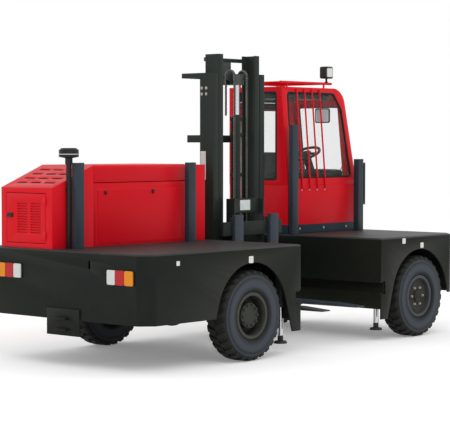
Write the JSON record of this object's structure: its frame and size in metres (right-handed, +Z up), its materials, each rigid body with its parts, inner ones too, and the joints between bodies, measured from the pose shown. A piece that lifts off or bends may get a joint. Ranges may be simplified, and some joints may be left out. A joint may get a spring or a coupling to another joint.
{
  "type": "diesel side-loading forklift",
  "caption": "Four-wheeled side-loading forklift: platform decks with a mast well, a mast that travels across, an engine hood, stake posts, jacks and a narrow cab.",
  "frame": {"origin": "on the ground, below the middle of the overall length and width", "axes": "+X forward along the machine, +Y toward the engine and cab side, +Z up; the load side is -Y"},
  "size_m": [4.834, 2.06, 2.9059],
  "materials": {
    "chassis_paint": "satin",
    "hood_paint": "gloss",
    "mast_paint": "satin",
    "post_paint": "satin",
    "fork_steel": "satin",
    "axle_iron": "matte",
    "chrome_rod": "polished",
    "chain_steel": "oiled",
    "tyre_rubber": "matte",
    "wheel_paint": "satin",
    "lens": "clear",
    "black_plastic": "matte",
    "seat_vinyl": "matte",
    "glass": "clear"
  },
  "bodies": {
    "chassis": {"access_step": "chassis_paint", "air_precleaner": "black_plastic", "cab_frame": "hood_paint", "cab_lower_panels": "hood_paint", "cab_mirror": "black_plastic", "cab_side_bars": "hood_paint", "cab_windows": "glass", "dash_column": "black_plastic", "decks": "chassis_paint", "end_lamps": "lens", "end_plates": "chassis_paint", "engine_block": "axle_iron", "engine_hood": "hood_paint", "front_axle": "axle_iron", "hood_latches": "black_plastic", "hydraulic_tank": "hood_paint", "jack_barrels": "mast_paint", "reach_ram_barrel": "mast_paint", "rear_axle": "axle_iron", "rear_hood": "hood_paint", "roof_guard": "hood_paint", "seat_back": "seat_vinyl", "seat_base": "black_plastic", "seat_cushion": "seat_vinyl", "side_plates": "chassis_paint", "side_spine": "chassis_paint", "stake_posts": "post_paint", "steering_wheel": "black_plastic", "subframe": "chassis_paint", "tow_coupling": "mast_paint", "well_walls": "chassis_paint", "work_lamp": "black_plastic"},
    "rear_wheel_near_body": {"rear_tyre_near": "tyre_rubber", "rear_wheel_near": "wheel_paint"},
    "rear_wheel_far_body": {"rear_tyre_far": "tyre_rubber", "rear_wheel_far": "wheel_paint"},
    "front_wheel_near_body": {"front_tyre_near": "tyre_rubber", "front_wheel_near": "wheel_paint"},
    "front_wheel_far_body": {"front_tyre_far": "tyre_rubber", "front_wheel_far": "wheel_paint"},
    "knuckle_near_body": {"knuckle_near": "axle_iron"},
    "knuckle_far_body": {"knuckle_far": "axle_iron"},
    "tie_rod_body": {"tie_rod": "axle_iron"},
    "rear_jack": {"rear_jack_foot": "chrome_rod"},
    "front_jack": {"front_jack_foot": "chrome_rod"},
    "ram_stage": {"reach_ram_stage": "chrome_rod"},
    "carrier": {"mast_carrier": "mast_paint", "reach_ram_rod": "chrome_rod"},
    "mast": {"outer_mast": "mast_paint", "lift_cylinder_barrel": "mast_paint"},
    "tilt_barrel_pair": {"tilt_barrels": "mast_paint"},
    "tilt_rod_pair": {"tilt_rods": "chrome_rod"},
    "inner_stage": {"inner_mast": "mast_paint", "lift_rod_crosshead": "chrome_rod", "lift_chains": "chain_steel"},
    "carriage": {"fork_carriage": "mast_paint", "forks": "fork_steel"},
    "hood_door": {"hood_rear_door": "hood_paint"},
    "lid": {"hood_lid": "hood_paint"},
    "door": {"cab_door": "hood_paint"}
  },
  "joints": [
    {"name": "rear_near_spin", "type": "hinge", "parent": "chassis", "child": "rear_wheel_near_body", "pos_m": [-0.949, -0.9125, 0.42], "axis": [0, 1, 0], "continuous": true},
    {"name": "rear_far_spin", "type": "hinge", "parent": "chassis", "child": "rear_wheel_far_body", "pos_m": [-0.949, 0.9125, 0.42], "axis": [0, 1, 0], "continuous": true},
    {"name": "near_steer", "type": "hinge", "parent": "chassis", "child": "knuckle_near_body", "pos_m": [1.723, -0.8325, 0.42], "axis": [0, 0, 1], "range_deg": [-35, 35]},
    {"name": "far_steer", "type": "hinge", "parent": "chassis", "child": "knuckle_far_body", "pos_m": [1.723, 0.8325, 0.42], "axis": [0, 0, 1], "range_deg": [-35, 35]},
    {"name": "tie_rod_slide", "type": "slide", "parent": "chassis", "child": "tie_rod_body", "axis": [0, 1, 0], "range_m": [-0.06, 0.06]},
    {"name": "front_near_spin", "type": "hinge", "parent": "knuckle_near_body", "child": "front_wheel_near_body", "pos_m": [1.723, -0.9125, 0.42], "axis": [0, 1, 0], "continuous": true},
    {"name": "front_far_spin", "type": "hinge", "parent": "knuckle_far_body", "child": "front_wheel_far_body", "pos_m": [1.723, 0.9125, 0.42], "axis": [0, 1, 0], "continuous": true},
    {"name": "rear_jack_down", "type": "slide", "parent": "chassis", "child": "rear_jack", "axis": [0, 0, -1], "range_m": [0, 0.1]},
    {"name": "front_jack_down", "type": "slide", "parent": "chassis", "child": "front_jack", "axis": [0, 0, -1], "range_m": [0, 0.1]},
    {"name": "mast_reach", "type": "slide", "parent": "chassis", "child": "carrier", "axis": [0, -1, 0], "range_m": [0, 1.1]},
    {"name": "ram_stage_slide", "type": "slide", "parent": "chassis", "child": "ram_stage", "axis": [0, -1, 0], "range_m": [0, 0.55]},
    {"name": "mast_tilt", "type": "hinge", "parent": "carrier", "child": "mast", "pos_m": [0.391, 0.396, 0.44], "axis": [1, 0, 0], "range_deg": [-5, 3]},
    {"name": "tilt_barrel_turn", "type": "hinge", "parent": "carrier", "child": "tilt_barrel_pair", "pos_m": [0.391, 0.745, 0.76], "axis": [1, 0, 0], "range_deg": [-5.64, 3.4]},
    {"name": "tilt_rod_slide", "type": "slide", "parent": "tilt_barrel_pair", "child": "tilt_rod_pair", "axis": [0, -0.6341, 0.7733], "range_m": [-0.0417, 0.0252]},
    {"name": "mast_lift", "type": "slide", "parent": "mast", "child": "inner_stage", "axis": [0, 0, 1], "range_m": [0, 1.75]},
    {"name": "carriage_lift", "type": "slide", "parent": "inner_stage", "child": "carriage", "axis": [0, 0, 1], "range_m": [0, 1.75]},
    {"name": "hood_door_hinge", "type": "hinge", "parent": "chassis", "child": "hood_door", "pos_m": [-2.343, 0.256, 1.32], "axis": [0, 0, 1], "range_deg": [0, 100]},
    {"name": "lid_hinge", "type": "hinge", "parent": "chassis", "child": "lid", "pos_m": [-1.257, 0.865, 1.644], "axis": [-1, 0, 0], "range_deg": [0, 75]},
    {"name": "cab_door_hinge", "type": "hinge", "parent": "chassis", "child": "door", "pos_m": [1.1965, 1.019, 1.8], "axis": [0, 0, 1], "range_deg": [0, 90]}
  ],
  "couplings": [
    {"joint": "far_steer", "follows": "near_steer", "ratio": 1},
    {"joint": "tie_rod_slide", "follows": "near_steer", "m_per_rad": -0.0939},
    {"joint": "ram_stage_slide", "follows": "mast_reach", "ratio": 0.5},
    {"joint": "tilt_barrel_turn", "follows": "mast_tilt", "ratio": 1.1183},
    {"joint": "tilt_rod_slide", "follows": "mast_tilt", "m_per_rad": 0.47166},
    {"joint": "carriage_lift", "follows": "mast_lift", "ratio": 1}
  ]
}
